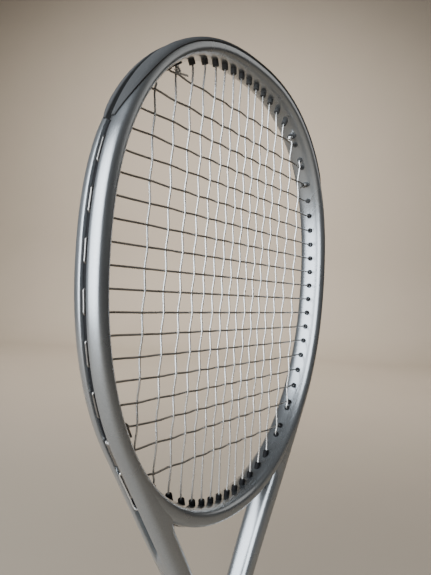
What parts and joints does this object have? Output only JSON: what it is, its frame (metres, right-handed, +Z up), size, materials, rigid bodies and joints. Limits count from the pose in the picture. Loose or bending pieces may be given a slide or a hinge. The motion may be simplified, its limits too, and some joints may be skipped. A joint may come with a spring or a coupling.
{
  "type": "tennis racket",
  "caption": "Strung tennis racket: oval hoop with bumper guard and grommet strips, bridge over an open throat, woven string bed, octagonal handle with wound grip and sliding collar.",
  "frame": {"origin": "centre of the butt cap's flat end face", "axes": "+Z up the racket's length towards the head, +X across the string face, -Y out of the front face"},
  "size_m": [0.265, 0.037, 0.685],
  "materials": {
    "frame_paint": "silver-grey metallic paint under clear coat on a moulded composite tube",
    "guard_plastic": "moulded dark grey plastic",
    "grommet_nylon": "moulded black nylon",
    "main_string": "pale silver monofilament",
    "cross_string": "dark grey monofilament",
    "pallet_foam": "rigid moulded foam",
    "cap_plastic": "moulded black plastic",
    "staple_steel": "plain steel wire",
    "grip_tape": "soft black synthetic wrap",
    "finishing_tape": "black vinyl tape",
    "collar_rubber": "matt black rubber"
  },
  "bodies": {
    "racket": {"frame": "frame_paint", "throat_bridge": "frame_paint", "bumper_guard": "guard_plastic", "grommet_strip_left": "grommet_nylon", "grommet_strip_right": "grommet_nylon", "grommet_strip_throat": "grommet_nylon", "main_string": "main_string", "cross_string": "cross_string", "handle_pallet_front": "pallet_foam", "handle_pallet_back": "pallet_foam", "butt_cap": "cap_plastic", "butt_staple_front": "staple_steel", "butt_staple_back": "staple_steel", "grip_wrap": "grip_tape", "finishing_tape": "finishing_tape"},
    "collar": {"grip_collar": "collar_rubber"}
  },
  "joints": [
    {"name": "grip_collar_slide", "type": "slide", "parent": "racket", "child": "collar", "axis": [0, 0, 1], "range_m": [0, 0.015]}
  ]
}
